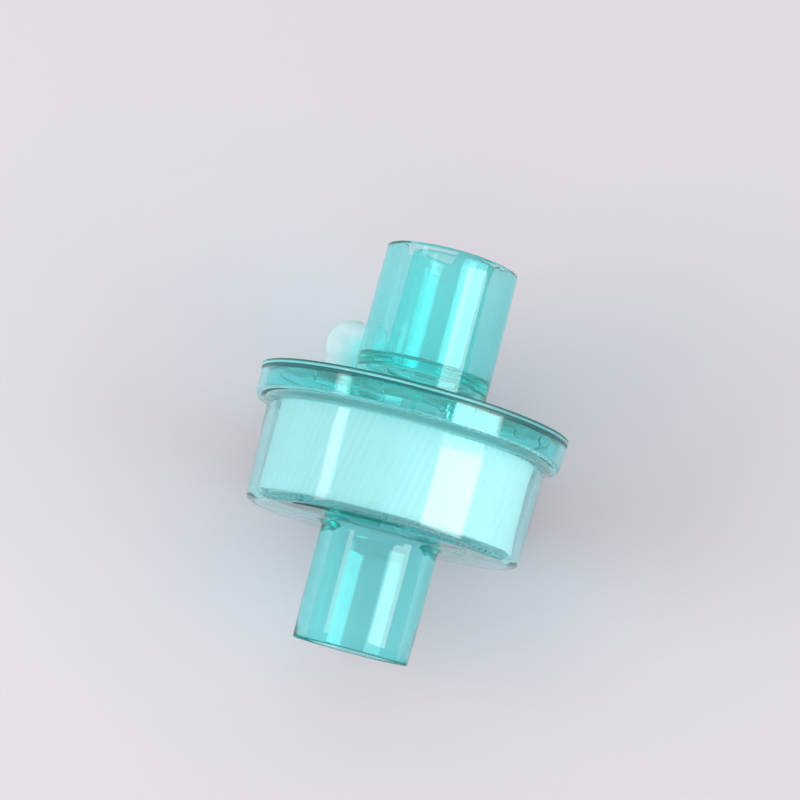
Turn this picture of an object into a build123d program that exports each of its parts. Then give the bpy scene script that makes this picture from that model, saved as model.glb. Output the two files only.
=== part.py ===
"""Breathing circuit filter: two clear moulded housings round a paper roll and a membrane, with a capped port.

The filter stands on its lower port. The origin is on the axis at that port's end, and +Z runs up the axis.
Sizes are in millimetres.
"""

import os
from math import acos, cos, degrees, pi, radians, sin

from build123d import *

os.makedirs("parts", exist_ok=True)

# Conical ports taper 1 in 40 on the diameter, then run parallel for a short land at their wide end
cone_slope = 1 / 80
cone_length = 16.0
port_end_round = 0.4

# Lower port: a 22 mm male cone with a plain bore that flares into the canister
port_tip_radius = 11.0
port_wall = 2.2
port_length = 22.3
port_root_fillet = 1.2
port_flare = 4.0

# Canister, the deep lower half that holds the paper roll
canister_radius = 26.1
canister_depth = 18.9
canister_draft = 0.0386
canister_wall = 1.5
canister_floor = 1.0
canister_corner = 1.3
inner_round = 0.4
floor_rib_count = 8
floor_rib_height = 1.2
floor_rib_width = 1.0
floor_rib_setback = 1.2
floor_rib_wall_gap = 3.0

# Cup, the wider rim of the lower housing that takes the lid
cup_step = 2.45
cup_draft = 0.04
cup_height = 5.7
cup_wall = 1.3
cup_floor = 1.4
cup_corner = 1.5
cup_edge_round = 0.15
mould_mark_radius = 1.1
mould_mark_height = 0.12
mould_mark_above_floor = 2.4
mould_mark_angles = (-80.4, -35.6)

# Lid, with a spigot that clamps the membrane inside the cup
lid_overhang = 0.1
lid_rim_thickness = 0.95
lid_rim_round = 0.25
lid_plate_thickness = 1.4
spigot_wall = 1.5
weld_gap = 0.08
lid_rib_count = 12
lid_rib_width = 0.9
lid_rib_height = 1.2
lid_rib_wall_gap = 5.0
rib_root = 0.3

# Upper port: a 22 mm socket with a 15 mm male tube standing inside it
socket_mouth_radius = 11.2
socket_land = 4.0
socket_depth = 21.6
socket_lead = 0.5
neck_wall = 1.5
neck_draft = 0.003
neck_plenum = 4.6
neck_root_fillet = 1.0
web_thickness = 1.8
web_round = 0.6
tube_tip_radius = 7.65
tube_wall = 1.2
tube_setback = 0.4

# Sampling port on the lid, a female Luer cone with two lugs
luer_azimuth = 137.9
luer_height = 10.4
luer_tip_radius = 3.0
luer_slope = 0.02
luer_mouth_radius = 2.14
luer_bore_slope = 0.03
luer_bore_depth = 8.0
luer_passage_radius = 1.2
lug_reach = 0.6
lug_width = 2.2
lug_height = 1.3

# Cap of the sampling port
cap_gap = 0.2
cap_wall = 0.6
cap_bulge = 0.8
cap_crown = 3.85
cap_above_lid = 2.55
cap_seat_gap = 0.05
cap_plug_length = 4.0
cap_plug_gap = 0.12
cap_neck_gap = 1.42

# Paper roll that exchanges heat and moisture, with the flutes of its corrugation showing on the outside
roll_gap = 0.2
roll_flutes = 112
flute_depth = 0.25
roll_head_gap = 0.3
roll_core_radius = 1.2

# Filter membrane, a fleece disc that is pinched thin round its edge
membrane_thickness = 1.3
membrane_edge_thickness = 0.5
membrane_edge_gap = 0.35
membrane_pinch = 1.5

# Heights worked out from the sizes above
floor_z = port_length
floor_top_z = floor_z + canister_floor
cup_z = floor_z + canister_depth
cup_floor_top_z = cup_z + cup_floor
cup_top_z = cup_z + cup_height
lid_top_z = cup_top_z + lid_rim_thickness
lid_under_z = lid_top_z - lid_plate_thickness
spigot_end_z = cup_floor_top_z + membrane_edge_thickness
neck_length = neck_plenum + web_thickness + socket_depth
top_z = lid_top_z + neck_length
web_top_z = top_z - socket_depth
web_under_z = web_top_z - web_thickness
tube_top_z = top_z - tube_setback
luer_top_z = lid_top_z + luer_height

# Radii worked out from the sizes above
port_bore_radius = port_tip_radius - port_wall
port_land_radius = port_tip_radius + cone_slope * cone_length
canister_top_radius = canister_radius + canister_draft * canister_depth
canister_inner_radius = canister_radius - canister_wall
canister_mouth_radius = canister_top_radius - canister_wall
cup_base_radius = canister_top_radius + cup_step
cup_radius = cup_base_radius + cup_draft * cup_height
cup_inner_radius = cup_base_radius - cup_wall
lid_rim_radius = cup_radius + lid_overhang
spigot_outer_radius = cup_inner_radius - weld_gap
spigot_inner_radius = spigot_outer_radius - spigot_wall
neck_radius = socket_mouth_radius + neck_wall
neck_root_radius = neck_radius + neck_draft * neck_length
socket_floor_radius = socket_mouth_radius - cone_slope * (socket_depth - socket_land)
tube_bore_radius = tube_tip_radius - tube_wall
tube_land_radius = tube_tip_radius + cone_slope * cone_length
luer_root_radius = luer_tip_radius + luer_slope * luer_height
luer_bore_end_radius = luer_mouth_radius - luer_bore_slope * luer_bore_depth
cap_inner_radius = luer_tip_radius + lug_reach + cap_gap
cap_skirt_radius = cap_inner_radius + cap_wall
cap_dome_radius = cap_skirt_radius + cap_bulge

# The sampling port stands just clear of the neck
luer_distance = neck_root_radius + cap_neck_gap + cap_dome_radius
luer_x = luer_distance * cos(radians(luer_azimuth))
luer_y = luer_distance * sin(radians(luer_azimuth))


def corner(builder, radius, height):
    """The corner of a half section that lies nearest to this radius and height."""
    return builder.vertices().sort_by_distance((radius, height, 0))[0]


with BuildPart() as lower_housing:
    with BuildSketch(Plane.XZ) as section:
        with BuildLine():
            Polyline(
                (port_bore_radius, 0),
                (port_tip_radius, 0),
                (port_land_radius, cone_length),
                (port_land_radius, floor_z),
                (canister_radius, floor_z),
                (canister_top_radius, cup_z),
                (cup_base_radius, cup_z),
                (cup_radius, cup_top_z),
                (cup_radius - cup_wall, cup_top_z),
                (cup_inner_radius, cup_floor_top_z),
                (canister_mouth_radius, cup_floor_top_z),
                (canister_inner_radius, floor_top_z),
                (port_bore_radius, floor_top_z),
                close=True,
            )
        make_face()
        fillet(corner(section, port_land_radius, floor_z), port_root_fillet)
        fillet(corner(section, port_bore_radius, floor_top_z), port_flare)
        fillet(corner(section, canister_radius, floor_z), canister_corner)
        fillet(corner(section, canister_inner_radius, floor_top_z), inner_round)
        fillet(corner(section, canister_top_radius, cup_z), inner_round)
        fillet(corner(section, canister_mouth_radius, cup_floor_top_z), inner_round)
        fillet(corner(section, cup_base_radius, cup_z), cup_corner)
        fillet(corner(section, cup_inner_radius, cup_floor_top_z), inner_round / 2)
        fillet(corner(section, cup_radius, cup_top_z), cup_edge_round)
        fillet(corner(section, port_tip_radius, 0), port_end_round)
        fillet(corner(section, port_bore_radius, 0), port_end_round)
    revolve(axis=Axis.Z)

    # Radial ribs lift the roll off the floor, so that the breath spreads under it
    floor_rib_start = port_bore_radius + port_flare + floor_rib_setback
    floor_rib_length = canister_inner_radius - floor_rib_wall_gap - floor_rib_start
    with Locations((0, 0, floor_top_z - rib_root)):
        with PolarLocations(floor_rib_start + floor_rib_length / 2, floor_rib_count):
            Box(
                floor_rib_length,
                floor_rib_width,
                floor_rib_height + rib_root,
                align=(Align.CENTER, Align.CENTER, Align.MIN),
            )

    # Round ejector marks on the cup wall
    mark_z = cup_floor_top_z + mould_mark_above_floor
    mark_reach = cup_base_radius + cup_draft * (mark_z - cup_z) + mould_mark_height
    for angle in mould_mark_angles:
        mark_plane = Plane(
            origin=(0, 0, mark_z),
            z_dir=(cos(radians(angle)), sin(radians(angle)), 0),
        )
        with BuildSketch(mark_plane.offset(mark_reach - cup_wall / 2)):
            Circle(mould_mark_radius)
        extrude(amount=cup_wall / 2)
lower_housing.part.label = "lower_housing"
export_step(lower_housing.part, "parts/lower_housing.step")


with BuildPart() as upper_housing:
    with BuildSketch(Plane.XZ) as section:
        with BuildLine():
            Polyline(
                (lid_rim_radius, cup_top_z),
                (lid_rim_radius, lid_top_z),
                (neck_root_radius, lid_top_z),
                (neck_radius, top_z),
                (socket_mouth_radius, top_z),
                (socket_mouth_radius, top_z - socket_land),
                (socket_floor_radius, web_top_z),
                (tube_land_radius, web_top_z),
                (tube_land_radius, tube_top_z - cone_length),
                (tube_tip_radius, tube_top_z),
                (tube_bore_radius, tube_top_z),
                (tube_bore_radius, web_under_z),
                (socket_floor_radius, web_under_z),
                (socket_floor_radius, lid_under_z),
                (spigot_inner_radius, lid_under_z),
                (spigot_inner_radius, spigot_end_z),
                (spigot_outer_radius, spigot_end_z),
                (spigot_outer_radius, cup_top_z),
                close=True,
            )
        make_face()
        fillet(corner(section, lid_rim_radius, lid_top_z), lid_rim_round)
        fillet(corner(section, lid_rim_radius, cup_top_z), lid_rim_round)
        fillet(corner(section, neck_root_radius, lid_top_z), neck_root_fillet)
        fillet(corner(section, neck_radius, top_z), port_end_round)
        fillet(corner(section, socket_mouth_radius, top_z), socket_lead)
        fillet(corner(section, socket_floor_radius, web_top_z), web_round)
        fillet(corner(section, tube_land_radius, web_top_z), web_round)
        fillet(corner(section, tube_tip_radius, tube_top_z), port_end_round)
        fillet(corner(section, tube_bore_radius, tube_top_z), port_end_round)
        fillet(corner(section, tube_bore_radius, web_under_z), web_thickness / 2)
        fillet(corner(section, socket_floor_radius, web_under_z), web_round)
        fillet(corner(section, socket_floor_radius, lid_under_z), lid_plate_thickness)
    revolve(axis=Axis.Z)

    # Radial ribs stiffen the lid above the membrane
    lid_rib_start = socket_floor_radius + lid_plate_thickness + rib_root
    lid_rib_length = spigot_inner_radius - lid_rib_wall_gap - lid_rib_start
    with Locations((0, 0, lid_under_z + rib_root)):
        with PolarLocations(lid_rib_start + lid_rib_length / 2, lid_rib_count):
            Box(
                lid_rib_length,
                lid_rib_width,
                lid_rib_height + rib_root,
                align=(Align.CENTER, Align.CENTER, Align.MAX),
            )

    # Sampling port
    with Locations((luer_x, luer_y, lid_top_z - lid_plate_thickness / 2)):
        Cone(
            luer_root_radius,
            luer_tip_radius,
            luer_height + lid_plate_thickness / 2,
            align=(Align.CENTER, Align.CENTER, Align.MIN),
        )
    with Locations(Location((luer_x, luer_y, luer_top_z), (0, 0, luer_azimuth))):
        Box(
            lug_width,
            2 * (luer_tip_radius + lug_reach),
            lug_height,
            align=(Align.CENTER, Align.CENTER, Align.MAX),
        )
        Cone(
            luer_bore_end_radius,
            luer_mouth_radius,
            luer_bore_depth,
            align=(Align.CENTER, Align.CENTER, Align.MAX),
            mode=Mode.SUBTRACT,
        )
        Cylinder(
            luer_passage_radius,
            luer_top_z - lid_under_z + lid_rib_height,
            align=(Align.CENTER, Align.CENTER, Align.MAX),
            mode=Mode.SUBTRACT,
        )
upper_housing.part.label = "upper_housing"
export_step(upper_housing.part, "parts/upper_housing.step")


# Cap: a domed hood over the sampling port, with a plug that stops its bore
cap_base_z = lid_top_z + cap_above_lid
cap_top_z = luer_top_z + cap_crown
cap_equator_z = cap_top_z - cap_dome_radius
cap_waist_angle = degrees(acos(cap_skirt_radius / cap_dome_radius))
cap_seat_z = luer_top_z + cap_seat_gap
plug_root_radius = luer_mouth_radius - cap_plug_gap
plug_end_radius = plug_root_radius - luer_bore_slope * cap_plug_length
luer_plane = Plane(origin=(luer_x, luer_y, 0), x_dir=(1, 0, 0), z_dir=(0, -1, 0))
with BuildPart() as luer_cap:
    with BuildSketch(luer_plane) as section:
        with BuildLine():
            dome = CenterArc((0, cap_equator_z), cap_dome_radius, -cap_waist_angle, 90 + cap_waist_angle)
            Polyline(
                dome @ 0,
                (cap_skirt_radius, cap_base_z),
                (cap_inner_radius, cap_base_z),
                (cap_inner_radius, cap_seat_z),
                (plug_root_radius, cap_seat_z),
                (plug_end_radius, cap_seat_z - cap_plug_length),
                (0, cap_seat_z - cap_plug_length),
                dome @ 1,
            )
        make_face()
        fillet(corner(section, cap_skirt_radius, cap_base_z), cap_wall / 3)
        fillet(corner(section, plug_end_radius, cap_seat_z - cap_plug_length), cap_wall / 3)
    revolve(axis=Axis((luer_x, luer_y, 0), (0, 0, 1)))
luer_cap.part.label = "luer_cap"
export_step(luer_cap.part, "parts/luer_cap.step")


# Paper roll: its outside is a ring of flutes, and its middle is wound on nothing, so a small hole is left
roll_radius = canister_inner_radius - roll_gap
roll_base_z = floor_top_z + floor_rib_height
membrane_dip = (membrane_thickness - membrane_edge_thickness) / 2
roll_height = cup_floor_top_z - membrane_dip - roll_head_gap - roll_base_z
flute_pitch = 2 * pi / roll_flutes
with BuildPart() as hme_roll:
    with BuildSketch(Plane.XY.offset(roll_base_z)):
        with BuildLine():
            Polyline(
                *[
                    (
                        (roll_radius - flute_depth * (half % 2)) * cos(half * flute_pitch / 2),
                        (roll_radius - flute_depth * (half % 2)) * sin(half * flute_pitch / 2),
                    )
                    for half in range(2 * roll_flutes)
                ],
                close=True,
            )
        make_face()
        Circle(roll_core_radius, mode=Mode.SUBTRACT)
    extrude(amount=roll_height)
hme_roll.part.label = "hme_roll"
export_step(hme_roll.part, "parts/hme_roll.step")


# Membrane: flat and thick where it is free, and pinched between the cup's floor and the lid's spigot
membrane_radius = cup_inner_radius - membrane_edge_gap
membrane_free_radius = spigot_inner_radius - membrane_pinch
membrane_top_z = spigot_end_z + membrane_dip
with BuildPart() as filter_membrane:
    with BuildSketch(Plane.XZ):
        with BuildLine():
            Polyline(
                (0, cup_floor_top_z - membrane_dip),
                (canister_mouth_radius - membrane_pinch, cup_floor_top_z - membrane_dip),
                (canister_mouth_radius - inner_round, cup_floor_top_z),
                (membrane_radius, cup_floor_top_z),
                (membrane_radius, spigot_end_z),
                (spigot_inner_radius, spigot_end_z),
                (membrane_free_radius, membrane_top_z),
                (0, membrane_top_z),
                close=True,
            )
        make_face()
    revolve(axis=Axis.Z)
filter_membrane.part.label = "filter_membrane"
export_step(filter_membrane.part, "parts/filter_membrane.step")
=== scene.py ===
"""Breathing circuit filter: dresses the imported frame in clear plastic, paper and fleece, in soft light."""

from __future__ import annotations

import logging
import math
from dataclasses import dataclass, field
from enum import Enum
from typing import Any, Mapping, Sequence

import bmesh
import bpy
from mathutils import Matrix, Vector, noise

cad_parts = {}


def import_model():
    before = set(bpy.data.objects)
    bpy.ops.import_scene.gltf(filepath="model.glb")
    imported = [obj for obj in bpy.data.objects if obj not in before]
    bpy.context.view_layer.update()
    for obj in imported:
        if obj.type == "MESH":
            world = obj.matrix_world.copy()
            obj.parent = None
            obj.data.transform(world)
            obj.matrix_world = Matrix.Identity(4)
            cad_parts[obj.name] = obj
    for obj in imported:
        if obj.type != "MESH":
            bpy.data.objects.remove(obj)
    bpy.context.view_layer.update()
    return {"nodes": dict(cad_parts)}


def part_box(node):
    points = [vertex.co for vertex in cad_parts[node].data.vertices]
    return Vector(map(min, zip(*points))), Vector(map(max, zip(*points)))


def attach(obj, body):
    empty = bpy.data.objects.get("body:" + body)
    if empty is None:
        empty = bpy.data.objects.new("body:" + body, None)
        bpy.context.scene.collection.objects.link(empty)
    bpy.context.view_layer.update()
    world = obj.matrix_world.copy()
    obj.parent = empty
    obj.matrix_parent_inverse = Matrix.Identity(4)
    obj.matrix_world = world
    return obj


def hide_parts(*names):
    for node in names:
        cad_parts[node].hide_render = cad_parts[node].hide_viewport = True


LOG = logging.getLogger("breathing_filter")
MM = 0.001
Colour = tuple[float, float, float]
Point = tuple[float, float, float]
Bands = tuple[tuple[float, Colour], ...]
WHITE: Colour = (1.0, 1.0, 1.0)
NONE: Colour = (0.0, 0.0, 0.0)
MOST: Colour = (0.96, 0.96, 0.96)
HALF: Colour = (0.5, 0.5, 0.5)
PORT_TINT: Colour = (0.70, 1.0, 1.0)
FLOOR_TINT: Colour = (0.78, 1.0, 1.0)
WALL_TINT: Colour = (0.93, 1.0, 1.0)
CUP_TINT: Colour = (0.60, 1.0, 1.0)
# The rim's painted light and shade: a dark painted-shade line, and a paler painted-light band.
PAINTED_SHADE_LINE: Colour = (0.0, 0.12, 0.125)
PAINTED_LIGHT_BAND: Colour = (0.32, 0.85, 0.86)


class Slot(Enum):
    """The material slots of the record."""

    CLEAR = "clear_teal"
    PAPER = "hme_paper"
    FLEECE = "filter_fleece"
    CAP = "frosted_cap"


class Body(Enum):
    """The bodies that pieces ride on."""

    FILTER = "filter"
    CAP = "cap"


class Wire:
    """A shader value: arithmetic on it adds the Math nodes that work it out."""

    def __init__(self, tree: ShaderTree, socket: bpy.types.NodeSocket) -> None:
        """Args:
        tree: the tree that the value belongs to.
        socket: the output that carries it.
        """
        self.tree = tree
        self.socket = socket

    def _math(self, operation: str, first: Any, second: Any) -> Wire:
        """One Math node.

        Args:
            operation: the node's operation.
            first: a Wire or a number.
            second: a Wire or a number.

        Returns:
            The node's result.
        """
        return self.tree.node("ShaderNodeMath", {"operation": operation}, {0: first, 1: second})["Value"]

    def __add__(self, other: Wire | float) -> Wire:
        """Sum."""
        return self._math("ADD", self, other)

    __radd__ = __add__

    def __sub__(self, other: Wire | float) -> Wire:
        """Difference."""
        return self._math("SUBTRACT", self, other)

    def __rsub__(self, other: Wire | float) -> Wire:
        """Difference the other way round."""
        return self._math("SUBTRACT", other, self)

    def __mul__(self, other: Wire | float) -> Wire:
        """Product."""
        return self._math("MULTIPLY", self, other)

    __rmul__ = __mul__

    def __pow__(self, other: float) -> Wire:
        """Power."""
        return self._math("POWER", self, other)


class Made(dict):
    """A node's outputs by name, each as a Wire."""


class ShaderTree:
    """The node tree of one material, with short ways to add nodes."""

    def __init__(self, name: str) -> None:
        """Args:
        name: the material's name.
        """
        self.material = bpy.data.materials.new(name)
        self.material.use_nodes = True
        self.tree = self.material.node_tree
        self.tree.nodes.clear()
        self.output = self.tree.nodes.new("ShaderNodeOutputMaterial")

    def node(self, kind: str, settings: Mapping[str, Any], values: Mapping[Any, Any]) -> Made:
        """Adds a node, sets its settings first and then its inputs.

        Args:
            kind: the node's type.
            settings: its own settings, such as an operation.
            values: what each input gets, by name or number: a Wire, or a plain value.

        Returns:
            Its outputs by name.
        """
        made = self.tree.nodes.new(kind)
        for key, value in settings.items():
            if key == "stops":
                self.stops(made.color_ramp, value)
            else:
                setattr(made, key, value)
        for key, value in values.items():
            if isinstance(value, Wire):
                self.tree.links.new(value.socket, made.inputs[key])
            else:
                made.inputs[key].default_value = value
        return Made({s.name: Wire(self, s) for s in made.outputs if s.enabled})

    @staticmethod
    def stops(ramp: bpy.types.ColorRamp, stops: Sequence[tuple[float, Colour]]) -> None:
        """Sets a ramp's stops.

        Args:
            ramp: a fresh ramp, with its two stops.
            stops: at least two places from 0 to 1, each with its colour.
        """
        while len(ramp.elements) < len(stops):
            ramp.elements.new(1.0)
        for element, (spot, colour) in zip(ramp.elements, stops):
            element.position = spot
            element.color = (*colour, 1.0)

    def place(self, stretch: Point = (1.0, 1.0, 1.0)) -> Wire:
        """The object's own coordinates in metres, stretched.

        Args:
            stretch: a factor along each axis.

        Returns:
            The place as a vector.
        """
        here = self.node("ShaderNodeTexCoord", {}, {})["Object"]
        return self.node("ShaderNodeMapping", {}, {"Vector": here, "Scale": stretch})["Vector"]

    def grain(self, size_mm: float, detail: float = 2.0, stretch: Point = (1.0, 1.0, 1.0)) -> Wire:
        """Soft noise.

        Args:
            size_mm: how large its blotches are.
            detail: how many finer layers it has.
            stretch: a factor along each axis.

        Returns:
            A value about 0.5.
        """
        values = {"Vector": self.place(stretch), "Scale": 1 / (size_mm * MM), "Detail": detail}
        return self.node("ShaderNodeTexNoise", {}, values)["Fac"]

    def by_height(self, bands: Sequence[tuple[float, Colour]]) -> Wire:
        """A colour that goes by the height in the object.

        Args:
            bands: heights in millimetres, in order, each with its colour.

        Returns:
            The colour.
        """
        top = bands[-1][0]
        level = self.node("ShaderNodeSeparateXYZ", {}, {"Vector": self.place()})["Z"]
        stops = [(height / top, colour) for height, colour in bands]
        return self.node("ShaderNodeValToRGB", {"stops": stops}, {"Fac": level * (1 / (top * MM))})["Color"]

    def blend(self, share: Wire, low: Colour | Wire, high: Colour | Wire) -> Wire:
        """A colour between two.

        Args:
            share: 0 for low and 1 for high.
            low: the first colour.
            high: the second colour.

        Returns:
            The mixed colour.
        """
        made = self.tree.nodes.new("ShaderNodeMix")
        made.data_type = "RGBA"
        self.tree.links.new(share.socket, made.inputs[0])
        for number, colour in ((6, low), (7, high)):
            if isinstance(colour, Wire):
                self.tree.links.new(colour.socket, made.inputs[number])
            else:
                made.inputs[number].default_value = (*colour, 1.0)
        return Wire(self, made.outputs[2])

    def bump(self, height: Wire, depth_mm: float, strength: float) -> Wire:
        """A bumped normal.

        Args:
            height: the relief, 0 to 1.
            depth_mm: how deep it is.
            strength: how much of it shows.

        Returns:
            The normal.
        """
        values = {"Height": height, "Distance": depth_mm * MM, "Strength": strength}
        return self.node("ShaderNodeBump", {}, values)["Normal"]

    def beyond(self, radius_mm: float) -> Wire:
        """A mask of what is farther from the axis than a radius.

        Args:
            radius_mm: the radius.

        Returns:
            1 beyond it and 0 within.
        """
        flat = {0: self.place(), 1: (1.0, 1.0, 0.0)}
        level = self.node("ShaderNodeVectorMath", {"operation": "MULTIPLY"}, flat)["Vector"]
        reach = self.node("ShaderNodeVectorMath", {"operation": "LENGTH"}, {0: level})["Value"]
        limit = {0: reach, 1: radius_mm * MM}
        return self.node("ShaderNodeMath", {"operation": "GREATER_THAN"}, limit)["Value"]

    def mix(self, share: Wire | float, first: Wire, second: Wire) -> Wire:
        """A Mix Shader's result, the first shader at a share of 0 and the second at 1."""
        return self.node("ShaderNodeMixShader", {}, {0: share, 1: first, 2: second})["Shader"]

    def passes_lamps(self, body: Wire, colour: Colour) -> Wire:
        """A clear surface whose shadow isn't black.

        Args:
            body: its shader.
            colour: what one face of it leaves of a lamp's light.

        Returns:
            The mixed shader.
        """
        through = self.node("ShaderNodeBsdfTransparent", {}, {"Color": (*colour, 1.0)})["BSDF"]
        return self.mix(self.node("ShaderNodeLightPath", {}, {})["Is Shadow Ray"], body, through)

    def lets_through(self, body: Wire, share: float, colour: Colour) -> Wire:
        """A surface that lets part of the light through, scattered.

        Args:
            body: its shader.
            share: the part that goes through.
            colour: the colour of what comes out.

        Returns:
            The mixed shader.
        """
        glow = self.node("ShaderNodeBsdfTranslucent", {}, {"Color": (*colour, 1.0)})["BSDF"]
        return self.mix(share, body, glow)

    def surface(self, shader: Wire) -> None:
        """Links a shader to the surface output."""
        self.tree.links.new(shader.socket, self.output.inputs["Surface"])

    def volume(self, shader: Wire) -> None:
        """Links a shader to the volume output."""
        self.tree.links.new(shader.socket, self.output.inputs["Volume"])


@dataclass(frozen=True)
class ClearPlastic:
    """Clear plastic that takes red out of the light by its thickness, with a faint flow of the moulding.

    bands tints it by height in millimetres. Beyond rim_radius_mm a painted rim is laid over it, by height:
    painted shade in dark lines where the clear rim shows dark, and a paler band of painted light.
    """

    name: str
    density_per_m: float
    passed: Colour = (0.0, 0.965, 0.95)
    ior: float = 1.56
    haze: float = 0.015
    haze_spread: float = 0.05
    flow_mm: float = 9.0
    flow_depth_mm: float = 0.04
    flow_stretch: Point = (1.0, 1.0, 0.45)
    flow_strength: float = 0.35
    fine_mm: float = 0.7
    shadow_pass: Colour = (0.86, 0.975, 0.98)
    bands: Bands = ((0.0, WHITE), (80.0, WHITE))
    rim_radius_mm: float = 29.2
    rim_roughness: float = 0.35
    # Painted shade and painted light for the rim, by height: their colours, then how much of them covers the
    # clear body.
    painted_rim_shading: Bands = ((0.0, WHITE), (80.0, WHITE))
    painted_rim_shading_shares: Bands = ((0.0, NONE), (80.0, NONE))

    def build(self) -> bpy.types.Material:
        """Makes the material."""
        tree = ShaderTree(self.name)
        flow = tree.grain(self.flow_mm, 1.0, self.flow_stretch)
        fine = tree.grain(self.fine_mm, 3.0)
        body = tree.node(
            "ShaderNodeBsdfPrincipled",
            {},
            {
                "Base Color": tree.by_height(self.bands),
                "Roughness": self.haze + self.haze_spread * (fine * flow) ** 2.0,
                "IOR": self.ior,
                "Transmission Weight": 1.0,
                "Normal": tree.bump(flow, self.flow_depth_mm, self.flow_strength),
            },
        )["BSDF"]
        # The painted rim: dark painted-shade lines and a paler painted-light band, over the clear body beyond
        # the rim radius.
        face = {"Base Color": tree.by_height(self.painted_rim_shading), "Roughness": self.rim_roughness}
        rim = tree.node("ShaderNodeBsdfPrincipled", {}, face)["BSDF"]
        share = tree.beyond(self.rim_radius_mm) * tree.by_height(self.painted_rim_shading_shares)
        tree.surface(tree.passes_lamps(tree.mix(share, body, rim), self.shadow_pass))
        taken = {"Color": (*self.passed, 1.0), "Density": self.density_per_m}
        tree.volume(tree.node("ShaderNodeVolumeAbsorption", {}, taken)["Volume"])
        return tree.material


@dataclass(frozen=True)
class FrostedPlastic:
    """Soft milky plastic that shows what is in it only as a shade."""

    name: str = "frosted_soft_plastic"
    pale: Colour = (0.91, 0.96, 0.97)
    paler: Colour = (0.96, 0.98, 0.99)
    roughness: float = 0.38
    passed: float = 0.72
    ior: float = 1.4
    cloud_mm: float = 2.5
    fine_mm: float = 0.25
    shadow_pass: Colour = (0.8, 0.88, 0.9)

    def build(self) -> bpy.types.Material:
        """Makes the material."""
        tree = ShaderTree(self.name)
        cloud = tree.grain(self.cloud_mm)
        fine = tree.grain(self.fine_mm)
        body = tree.node(
            "ShaderNodeBsdfPrincipled",
            {},
            {
                "Base Color": tree.blend(cloud, self.pale, self.paler),
                "Roughness": self.roughness + 0.15 * fine,
                "IOR": self.ior,
                "Transmission Weight": self.passed,
                "Normal": tree.bump(fine, 0.02, 0.3),
            },
        )["BSDF"]
        tree.surface(tree.passes_lamps(body, self.shadow_pass))
        return tree.material


@dataclass(frozen=True)
class Paper:
    """White treated paper with short fibres."""

    name: str = "treated_paper"
    shade: Colour = (0.90, 0.93, 0.94)
    light: Colour = (0.97, 0.985, 0.99)
    through: float = 0.3
    cloud_mm: float = 3.0
    fibre_mm: float = 0.3

    def build(self) -> bpy.types.Material:
        """Makes the material."""
        tree = ShaderTree(self.name)
        cloud = tree.grain(self.cloud_mm, 2.0, (1.0, 1.0, 0.3))
        fibre = tree.grain(self.fibre_mm, 4.0, (1.0, 1.0, 0.5))
        body = tree.node(
            "ShaderNodeBsdfPrincipled",
            {},
            {
                "Base Color": tree.blend(0.6 * cloud + 0.4 * fibre, self.shade, self.light),
                "Roughness": 0.75 + 0.2 * fibre,
                "Normal": tree.bump(fibre, 0.05, 0.5),
            },
        )["BSDF"]
        tree.surface(tree.lets_through(body, self.through, self.light))
        return tree.material


@dataclass(frozen=True)
class Fleece:
    """Pressed white fleece."""

    name: str = "filter_fleece"
    shade: Colour = (0.88, 0.91, 0.91)
    light: Colour = (0.97, 0.98, 0.98)
    through: float = 0.35
    tuft_mm: float = 0.8
    strand_mm: float = 0.2

    def build(self) -> bpy.types.Material:
        """Makes the material."""
        tree = ShaderTree(self.name)
        tuft = tree.grain(self.tuft_mm, 5.0)
        strand = tree.grain(self.strand_mm, 4.0, (1.0, 0.3, 1.0))
        body = tree.node(
            "ShaderNodeBsdfPrincipled",
            {},
            {
                "Base Color": tree.blend(0.5 * tuft + 0.5 * strand, self.shade, self.light),
                "Roughness": 0.85 + 0.1 * tuft,
                "Sheen Weight": 0.3,
                "Normal": tree.bump(tuft * strand, 0.2, 0.8),
            },
        )["BSDF"]
        tree.surface(tree.lets_through(body, self.through, self.light))
        return tree.material


@dataclass(frozen=True)
class PaleTable:
    """The pale surface of the studio, seen from its front only."""

    name: str
    colour: Colour = (0.582, 0.540, 0.575)
    darker: float = 0.985
    cloud_mm: float = 60.0

    def build(self) -> bpy.types.Material:
        """Makes the material."""
        tree = ShaderTree(self.name)
        shade = tuple(self.darker * c for c in self.colour)
        tone = tree.blend(tree.grain(self.cloud_mm), shade, self.colour)
        dull = {"Base Color": tone, "Roughness": 0.9, "Specular IOR Level": 0.1}
        body = tree.node("ShaderNodeBsdfPrincipled", {}, dull)["BSDF"]
        nothing = tree.node("ShaderNodeBsdfTransparent", {}, {})["BSDF"]
        behind = tree.node("ShaderNodeNewGeometry", {}, {})["Backfacing"]
        tree.surface(tree.mix(behind, body, nothing))
        return tree.material


def keep(name: str, mesh: bpy.types.Mesh) -> bpy.types.Object:
    """Links a finished mesh as an object at the origin.

    Args:
        name: the piece's name.
        mesh: its mesh, in the row frame.

    Returns:
        The object.
    """
    made = bpy.data.objects.new(name, mesh)
    bpy.context.scene.collection.objects.link(made)
    return made


def dress(piece: bpy.types.Object, finish: bpy.types.Material, slot: Slot, body: Body, *nodes: str) -> None:
    """Gives a piece its finish and its body, and hides the nodes that it stands for.

    Args:
        piece: the piece.
        finish: its material.
        slot: not used.
        body: the body it rides on.
        nodes: the CAD nodes that it replaces.
    """
    piece.data.materials.clear()
    piece.data.materials.append(finish)
    if nodes:
        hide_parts(*nodes)
    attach(piece, body.value)
    LOG.info("%s: %d faces on %s", piece.name, len(piece.data.polygons), body.value)


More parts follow.
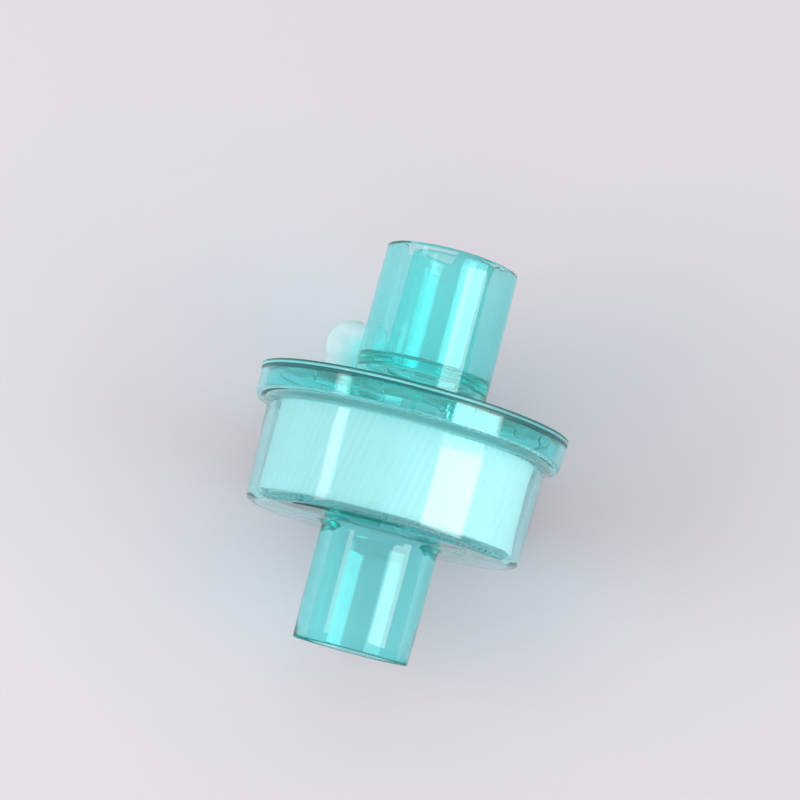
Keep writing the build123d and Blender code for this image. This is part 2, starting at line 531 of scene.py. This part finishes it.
def skin_of(
    node: str, name: str, nodes: Mapping[str, bpy.types.Object], crease_deg: float, ease_mm: float = 0.0
) -> bpy.types.Object:
    """A smooth closed copy of a CAD node's mesh.

    Args:
        node: the node.
        name: the new piece's name.
        nodes: the frame's nodes.
        crease_deg: edges sharper than this stay sharp.
        ease_mm: how far its faces stand back, so that they don't share a plane with what they touch.

    Returns:
        The new piece.
    """
    mesh = nodes[node].data.copy()
    mesh.name = name
    work = bmesh.new()
    work.from_mesh(mesh)
    bmesh.ops.remove_doubles(work, verts=work.verts, dist=0.0005 * MM)
    bmesh.ops.dissolve_degenerate(work, edges=work.edges, dist=0.0002 * MM)
    work.normal_update()
    for spot, out in [(v, v.normal.copy()) for v in work.verts]:
        spot.co -= out * ease_mm * MM
    work.to_mesh(mesh)
    work.free()
    for name_of in [a.name for a in mesh.attributes if a.name == "custom_normal"]:
        mesh.attributes.remove(mesh.attributes[name_of])
    mesh.shade_smooth()
    mesh.set_sharp_from_angle(angle=math.radians(crease_deg))
    return keep(name, mesh)


@dataclass
class Housings:
    """The two clear mouldings."""

    nodes: Mapping[str, bpy.types.Object]
    lower_finish: ClearPlastic = ClearPlastic(
        "lower_clear_plastic",
        150.0,
        bands=(
            (0.0, PORT_TINT),
            (20.5, PORT_TINT),
            (22.0, FLOOR_TINT),
            (23.6, FLOOR_TINT),
            (24.6, WALL_TINT),
            (41.0, WALL_TINT),
            (42.5, CUP_TINT),
            (80.0, CUP_TINT),
        ),
        # Painted shade: a dark line over the top of the cup's outer rim.
        painted_rim_shading=((0.0, PAINTED_SHADE_LINE), (80.0, PAINTED_SHADE_LINE)),
        painted_rim_shading_shares=((0.0, NONE), (46.34, NONE), (46.4, MOST), (80.0, MOST)),
    )
    upper_finish: ClearPlastic = ClearPlastic(
        "upper_clear_plastic",
        335.0,
        # Painted shade in dark lines over the lid's outer rim, with a band of painted light from 47.0 to 47.2
        # mm.
        painted_rim_shading=((0.0, PAINTED_SHADE_LINE), (46.95, PAINTED_SHADE_LINE), (47.0, PAINTED_LIGHT_BAND), (47.2, PAINTED_LIGHT_BAND), (47.25, PAINTED_SHADE_LINE), (80.0, PAINTED_SHADE_LINE)),
        painted_rim_shading_shares=((0.0, MOST), (46.95, MOST), (47.0, HALF), (47.2, HALF), (47.25, MOST), (80.0, MOST)),
    )
    crease_deg: float = 32.0
    ease_mm: float = 0.01

    def build(self) -> None:
        """Makes both."""
        for node, name, finish, ease_mm in (
            ("lower_housing", "lower_shell", self.lower_finish, 0.0),
            ("upper_housing", "upper_shell", self.upper_finish, self.ease_mm),
        ):
            piece = skin_of(node, name, self.nodes, self.crease_deg, ease_mm)
            dress(piece, finish.build(), Slot.CLEAR, Body.FILTER, node)


@dataclass
class PortCap:
    """The frosted cap of the sampling port."""

    nodes: Mapping[str, bpy.types.Object]
    finish: FrostedPlastic = field(default_factory=FrostedPlastic)
    crease_deg: float = 40.0

    def build(self) -> None:
        """Makes the cap."""
        piece = skin_of("luer_cap", "cap_hood", self.nodes, self.crease_deg)
        dress(piece, self.finish.build(), Slot.CAP, Body.CAP, "luer_cap")


class GeometryTree:
    """A Geometry Nodes tree with named inputs, and short ways to add nodes."""

    def __init__(self, name: str, sizes: Mapping[str, float]) -> None:
        """Args:
        name: the tree's name.
        sizes: its named inputs, as floats, with their defaults.
        """
        self.tree = bpy.data.node_groups.new(name, "GeometryNodeTree")
        self.tree.interface.new_socket("Geometry", in_out="OUTPUT", socket_type="NodeSocketGeometry")
        self.identifier: dict[str, str] = {}
        for key, value in sizes.items():
            made = self.tree.interface.new_socket(key, in_out="INPUT", socket_type="NodeSocketFloat")
            made.default_value = value
            self.identifier[key] = made.identifier
        self.inputs = self.tree.nodes.new("NodeGroupInput")
        self.result = self.tree.nodes.new("NodeGroupOutput")

    def size(self, name: str) -> bpy.types.NodeSocket:
        """One named input."""
        return self.inputs.outputs[name]

    def node(self, kind: str, settings: Mapping[str, Any], values: Mapping[Any, Any]) -> bpy.types.Node:
        """Adds a node.

        Args:
            kind: its type.
            settings: its own settings.
            values: what each input gets: a socket or a plain value.

        Returns:
            The node.
        """
        made = self.tree.nodes.new(kind)
        for key, value in settings.items():
            setattr(made, key, value)
        for key, value in values.items():
            if isinstance(value, bpy.types.NodeSocket):
                self.tree.links.new(value, made.inputs[key])
            else:
                made.inputs[key].default_value = value
        return made

    def math(self, operation: str, first: Any, second: Any = 0.0) -> bpy.types.NodeSocket:
        """One Math node's result."""
        return self.node("ShaderNodeMath", {"operation": operation}, {0: first, 1: second}).outputs[0]

    def finish(self, geometry: bpy.types.NodeSocket, material: bpy.types.Material) -> None:
        """Ends the tree in Realize Instances and Set Material."""
        real = self.node("GeometryNodeRealizeInstances", {}, {"Geometry": geometry})
        dressed = self.node("GeometryNodeSetMaterial", {}, {"Geometry": real.outputs[0], "Material": material})
        self.tree.links.new(dressed.outputs[0], self.result.inputs[0])

    def grow(self, name: str, sizes: Mapping[str, float]) -> bpy.types.Object:
        """Runs the tree and keeps its result as a plain mesh.

        Args:
            name: the piece's name.
            sizes: the values of the named inputs.

        Returns:
            The piece.
        """
        seed = keep(name + "_seed", bpy.data.meshes.new(name + "_seed"))
        modifier = seed.modifiers.new("grow", "NODES")
        modifier.node_group = self.tree
        for key, value in sizes.items():
            modifier[self.identifier[key]] = float(value)
        depsgraph = bpy.context.evaluated_depsgraph_get()
        mesh = bpy.data.meshes.new_from_object(seed.evaluated_get(depsgraph), depsgraph=depsgraph)
        seed.modifiers.remove(modifier)
        bpy.data.objects.remove(seed)
        mesh.name = name
        return keep(name, mesh)


@dataclass
class PaperRoll:
    """The roll that exchanges heat and moisture: fluted paper and flat paper, wound up together."""

    finish: Paper = field(default_factory=Paper)
    turn_mm: float = 1.75
    flute_mm: float = 1.45
    flute_swing_mm: float = 0.42
    sheet_mm: float = 0.24
    core_mm: float = 1.6
    step_mm: float = 0.24
    lean_deg_per_mm: float = 0.5
    outer_swing_mm: float = 0.08
    outer_slack_mm: tuple[float, float] = (0.05, 0.02)
    spiral_points: int = 160
    flat_step: int = 3
    crease_deg: float = 50.0

    def tree(self, material: bpy.types.Material) -> GeometryTree:
        """The tree that winds one sheet.

        Args:
            material: the sheet's material.

        Returns:
            The tree.
        """
        radii = ("Turns", "Start Radius", "End Radius", "Base", "Height")
        paper = ("Sheet", "Swing", "Flute", "Step", "Lean")
        grow = GeometryTree("wound_sheet", {name: 1.0 for name in radii + paper})
        spiral = grow.node(
            "GeometryNodeCurveSpiral",
            {},
            {
                "Resolution": self.spiral_points,
                "Rotations": grow.size("Turns"),
                "Start Radius": grow.size("Start Radius"),
                "End Radius": grow.size("End Radius"),
                "Height": 0.0,
            },
        )
        even = grow.node(
            "GeometryNodeResampleCurve",
            {"mode": "LENGTH"},
            {"Curve": spiral.outputs[0], "Length": grow.size("Step")},
        )
        along = grow.node("GeometryNodeSplineParameter", {}, {}).outputs["Length"]
        flutes = grow.math("DIVIDE", along, grow.size("Flute"))
        wave = grow.math("SINE", grow.math("MULTIPLY", flutes, 2 * math.pi))
        swing = grow.math("MULTIPLY", wave, grow.size("Swing"))
        ahead = grow.node("GeometryNodeInputTangent", {}, {}).outputs[0]
        across = grow.node(
            "ShaderNodeVectorMath", {"operation": "CROSS_PRODUCT"}, {0: ahead, 1: (0.0, 0.0, 1.0)}
        ).outputs[0]
        sideways = {0: across, "Scale": swing}
        shift = grow.node("ShaderNodeVectorMath", {"operation": "SCALE"}, sideways).outputs[0]
        fluted = grow.node("GeometryNodeSetPosition", {}, {"Geometry": even.outputs[0], "Offset": shift})
        upright = grow.node("GeometryNodeSetCurveNormal", {"mode": "Z_UP"}, {"Curve": fluted.outputs[0]})
        edge = grow.node(
            "GeometryNodeCurvePrimitiveQuadrilateral",
            {"mode": "RECTANGLE"},
            {"Width": grow.size("Sheet"), "Height": grow.size("Height")},
        )
        wound = grow.node(
            "GeometryNodeCurveToMesh",
            {},
            {"Curve": upright.outputs[0], "Profile Curve": edge.outputs[0], "Fill Caps": True},
        )
        place = grow.node("GeometryNodeInputPosition", {}, {}).outputs[0]
        level = grow.node("ShaderNodeSeparateXYZ", {}, {"Vector": place}).outputs["Z"]
        turned = grow.node(
            "ShaderNodeVectorRotate",
            {"rotation_type": "Z_AXIS"},
            {"Vector": place, "Angle": grow.math("MULTIPLY", level, grow.size("Lean"))},
        ).outputs[0]
        middle = grow.math("ADD", grow.size("Base"), grow.math("MULTIPLY", grow.size("Height"), 0.5))
        lift = grow.node("ShaderNodeCombineXYZ", {}, {"Z": middle}).outputs[0]
        leaning = grow.node("GeometryNodeSetPosition", {}, {"Geometry": wound.outputs[0], "Position": turned})
        raised = grow.node("GeometryNodeSetPosition", {}, {"Geometry": leaning.outputs[0], "Offset": lift})
        grow.finish(raised.outputs[0], material)
        return grow

    def build(self) -> None:
        """Winds the fluted sheet, the flat sheet and the embossed last turn."""
        low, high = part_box("hme_roll")
        outer = high.x
        height = high.z - low.z
        paper = self.finish.build()
        tree = self.tree(paper)
        inside = outer - (self.outer_swing_mm + self.sheet_mm) * MM
        turns = (inside / MM - self.turn_mm - self.core_mm) / self.turn_mm
        shared = {
            "Base": low.z,
            "Height": height,
            "Sheet": self.sheet_mm * MM,
            "Flute": self.flute_mm * MM,
            "Lean": math.radians(self.lean_deg_per_mm) / MM,
            "Turns": turns,
            "Step": self.step_mm * MM,
        }
        half = self.turn_mm / 2
        layers = {
            "roll_fluted_sheet": (self.core_mm, 0.0, self.flute_swing_mm),
            "roll_flat_sheet": (self.core_mm + half, half, 0.0),
        }
        for name, (start, offset, swing) in layers.items():
            end = inside - (self.turn_mm - offset) * MM
            sizes = {**shared, "Start Radius": start * MM, "End Radius": end, "Swing": swing * MM}
            if not swing:
                sizes["Step"] = self.flat_step * self.step_mm * MM
            self.wind(tree, name, sizes, paper)
        start, end = (inside - slack * MM for slack in self.outer_slack_mm)
        wrap = {"Turns": 1.0, "Start Radius": start, "End Radius": end, "Swing": self.outer_swing_mm * MM}
        self.wind(tree, "roll_last_turn", {**shared, **wrap}, paper)

    def wind(
        self, tree: GeometryTree, name: str, sizes: Mapping[str, float], paper: bpy.types.Material
    ) -> None:
        """Winds one sheet and dresses it.

        Args:
            tree: the tree that winds it.
            name: the piece's name.
            sizes: the tree's inputs.
            paper: its material.
        """
        piece = tree.grow(name, sizes)
        piece.data.shade_smooth()
        piece.data.set_sharp_from_angle(angle=math.radians(self.crease_deg))
        dress(piece, paper, Slot.PAPER, Body.FILTER, "hme_roll")


@dataclass
class Membrane:
    """The fleece disc that filters the breath."""

    finish: Fleece = field(default_factory=Fleece)
    rings: int = 72
    spokes: int = 192
    pinched_mm: float = 0.56
    pinch_above_mm: tuple[float, float] = (24.9, 26.4)
    pinch_below_mm: tuple[float, float] = (24.6, 24.93)
    loft_below_mm: float = 0.2
    tuft_mm: float = 0.06
    tuft_size_mm: float = 1.6
    ring_power: float = 0.6
    side_shift: float = 5.0

    def face(self, side: int, pinch_mm: tuple[float, float], loft_mm: float) -> list[list[Vector]]:
        """The points of one face, ring by ring from the middle.

        Args:
            side: 1 for the upper face and -1 for the lower.
            pinch_mm: the radii where the pinch starts and ends.
            loft_mm: how much the unpinched part swells.

        Returns:
            A row of points for each ring.
        """
        low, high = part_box("filter_membrane")
        middle = (low.z + high.z) / 2
        full = (high.z - low.z) / 2 - self.tuft_mm * MM
        pinched = self.pinched_mm / 2 * MM
        start, end = pinch_mm
        grid = []
        for ring in range(self.rings + 1):
            reach = high.x * (ring / self.rings) ** self.ring_power
            fall = min(1.0, max(0.0, (reach / MM - start) / (end - start)))
            thick = full + (pinched - full) * fall * fall * (3 - 2 * fall)
            row = []
            for spoke in range(self.spokes):
                turn = 2 * math.pi * spoke / self.spokes
                spot = Vector((math.cos(turn) * reach, math.sin(turn) * reach, 0))
                tuft = noise.noise(spot / (self.tuft_size_mm * MM) + Vector((0, 0, side * self.side_shift)))
                loft = (loft_mm + tuft * self.tuft_mm) * MM * (1 - fall)
                spot.z = middle + side * (thick + loft)
                row.append(spot)
            grid.append(row)
        return grid

    def build(self) -> None:
        """Makes the disc: fine rings between its middle and its pinched edge, with a soft uneven face."""
        above = self.face(1, self.pinch_above_mm, 0.0)
        below = self.face(-1, self.pinch_below_mm, self.loft_below_mm)
        work = bmesh.new()
        rows = [[work.verts.new(p) for p in row] for row in above[1:]]
        rows += [[work.verts.new(p) for p in row] for row in reversed(below[1:])]
        poles = [work.verts.new(above[0][0]), work.verts.new(below[0][0])]
        for spoke in range(self.spokes):
            after = (spoke + 1) % self.spokes
            work.faces.new((poles[0], rows[0][spoke], rows[0][after]))
            work.faces.new((poles[1], rows[-1][after], rows[-1][spoke]))
            for first, second in zip(rows, rows[1:]):
                work.faces.new((first[spoke], second[spoke], second[after], first[after]))
        mesh = bpy.data.meshes.new("membrane_fleece")
        work.to_mesh(mesh)
        work.free()
        mesh.shade_smooth()
        dress(keep("membrane_fleece", mesh), self.finish.build(), Slot.FLEECE, Body.FILTER, "filter_membrane")


@dataclass(frozen=True)
class Lamp:
    """An upright soft light that faces the axis.

    azimuth goes from the camera's side towards +X, in degrees. low and high are the heights of its edges, width
    its width and away its distance from the axis, in metres. glow is its power over its area, in watts a square
    metre. fills says whether it only lights dull surfaces, or only shows in glossy ones.
    """

    name: str
    azimuth: float
    low: float
    high: float
    width: float
    glow: float
    away: float
    fills: bool


@dataclass
class Studio:
    """The camera, the pale surfaces and the lights."""

    camera_mm: Point = (0.0, -516.7, -18.67)
    pitch: float = 0.1278
    yaw: float = -0.0057
    roll: float = 0.2592
    focal_px: float = 2782.5
    frame_px: int = 800
    sensor_mm: float = 36.0
    clip: tuple[float, float] = (0.01, 20.0)
    floor_z: float = -0.0002
    floor_half: float = 1.6
    board_half: float = 0.9
    board_foot_z: float = 0.0478
    board_gap: float = 0.0004
    board_lean: Point = (0.0, 3.5, 24.2)
    room_colour: Colour = (0.985, 0.98, 1.0)
    room_strength: float = 0.95
    lamps: tuple[Lamp, ...] = (
        Lamp("wide_softbox", 46.9, -0.15, 0.28, 0.40, 13.0, 0.6, False),
        Lamp("left_fill", -58.0, -0.50, 0.10, 0.5, 15.5, 0.8, True),
        Lamp("right_fill", 58.0, -0.25, 0.30, 0.5, 7.5, 0.8, True),
        Lamp("narrow_softbox", -55.0, -0.02, 0.128, 0.107, 9.0, 0.6, False),
    )

    def camera(self) -> None:
        """Makes the camera at the photograph's viewing angle."""
        data = bpy.data.cameras.new("camera")
        data.sensor_width = self.sensor_mm
        data.lens = self.focal_px * self.sensor_mm / self.frame_px
        data.clip_start, data.clip_end = self.clip
        made = bpy.data.objects.new("camera", data)
        bpy.context.scene.collection.objects.link(made)
        ahead = Vector(
            (
                math.sin(self.yaw) * math.cos(self.pitch),
                math.cos(self.yaw) * math.cos(self.pitch),
                math.sin(self.pitch),
            )
        )
        level = Vector((math.cos(self.yaw), -math.sin(self.yaw), 0.0))
        upright = level.cross(ahead)
        right = math.cos(self.roll) * level + math.sin(self.roll) * upright
        up = right.cross(ahead)
        place = Matrix((right, up, -ahead)).transposed().to_4x4()
        place.translation = Vector(self.camera_mm) * MM
        made.matrix_world = place
        bpy.context.scene.camera = made

    def sheet(self, name: str, centre: Vector, along: Vector, across: Vector, half: float) -> bpy.types.Object:
        """A flat surface of the stage.

        Args:
            name: its name.
            centre: its middle.
            along: one direction in it.
            across: the other; along x across is its front.
            half: half its size.

        Returns:
            The surface.
        """
        mesh = bpy.data.meshes.new(name)
        corners = [
            centre + half * (a * along + b * across) for a, b in ((-1, -1), (1, -1), (1, 1), (-1, 1))
        ]
        mesh.from_pydata([tuple(c) for c in corners], [], [(0, 1, 2, 3)])
        made = keep(name, mesh)
        mesh.materials.append(PaleTable(name + "_pale").build())
        return made

    def surfaces(self) -> None:
        """The floor, and behind the filter the board that its lid and its canister all but touch."""
        right = Vector((1, 0, 0))
        floor = self.sheet("floor", Vector((0, 0, self.floor_z)), right, Vector((0, 1, 0)), self.floor_half)
        floor.visible_shadow = False
        floor.visible_diffuse = False
        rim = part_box("upper_housing")[1].y
        foot = Vector((0.0, rim + self.board_gap, self.board_foot_z))
        self.sheet("board", foot, right, Vector(self.board_lean).normalized(), self.board_half)

    @staticmethod
    def light(lamp: Lamp) -> None:
        """Makes one light."""
        data = bpy.data.lights.new(lamp.name, "AREA")
        data.shape = "RECTANGLE"
        data.size = lamp.width
        data.size_y = lamp.high - lamp.low
        data.energy = lamp.glow * lamp.width * (lamp.high - lamp.low)
        made = bpy.data.objects.new(lamp.name, data)
        bpy.context.scene.collection.objects.link(made)
        turn = math.radians(lamp.azimuth)
        out = Vector((math.sin(turn), -math.cos(turn), 0.0))
        made.location = out * lamp.away + Vector((0, 0, (lamp.low + lamp.high) / 2))
        made.rotation_mode = "QUATERNION"
        made.rotation_quaternion = (-out).to_track_quat("-Z", "Y")
        made.visible_camera = False
        made.visible_diffuse = lamp.fills
        made.visible_glossy = not lamp.fills
        made.visible_transmission = not lamp.fills

    def room(self) -> None:
        """The pale room, and enough bounces for walls behind walls."""
        world = bpy.data.worlds.new("room")
        bpy.context.scene.world = world
        world.use_nodes = True
        back = world.node_tree.nodes["Background"]
        back.inputs["Color"].default_value = (*self.room_colour, 1.0)
        back.inputs["Strength"].default_value = self.room_strength
        bpy.context.scene.view_settings.view_transform = "Standard"
        paths = bpy.context.scene.cycles
        paths.max_bounces = 40
        paths.transmission_bounces = 40
        paths.glossy_bounces = 24
        paths.diffuse_bounces = 10
        paths.transparent_max_bounces = 40

    def build(self) -> None:
        """Makes the whole stage."""
        self.surfaces()
        for lamp in self.lamps:
            self.light(lamp)
        self.room()


def main() -> None:
    """Dresses the frame piece by piece."""
    logging.basicConfig(level=logging.INFO, format="%(name)s: %(message)s")
    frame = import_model()
    nodes = frame["nodes"]
    studio = Studio()
    studio.camera()
    Housings(nodes).build()
    PaperRoll().build()
    Membrane().build()
    PortCap(nodes).build()
    studio.build()


if __name__ == "__main__":
    main()
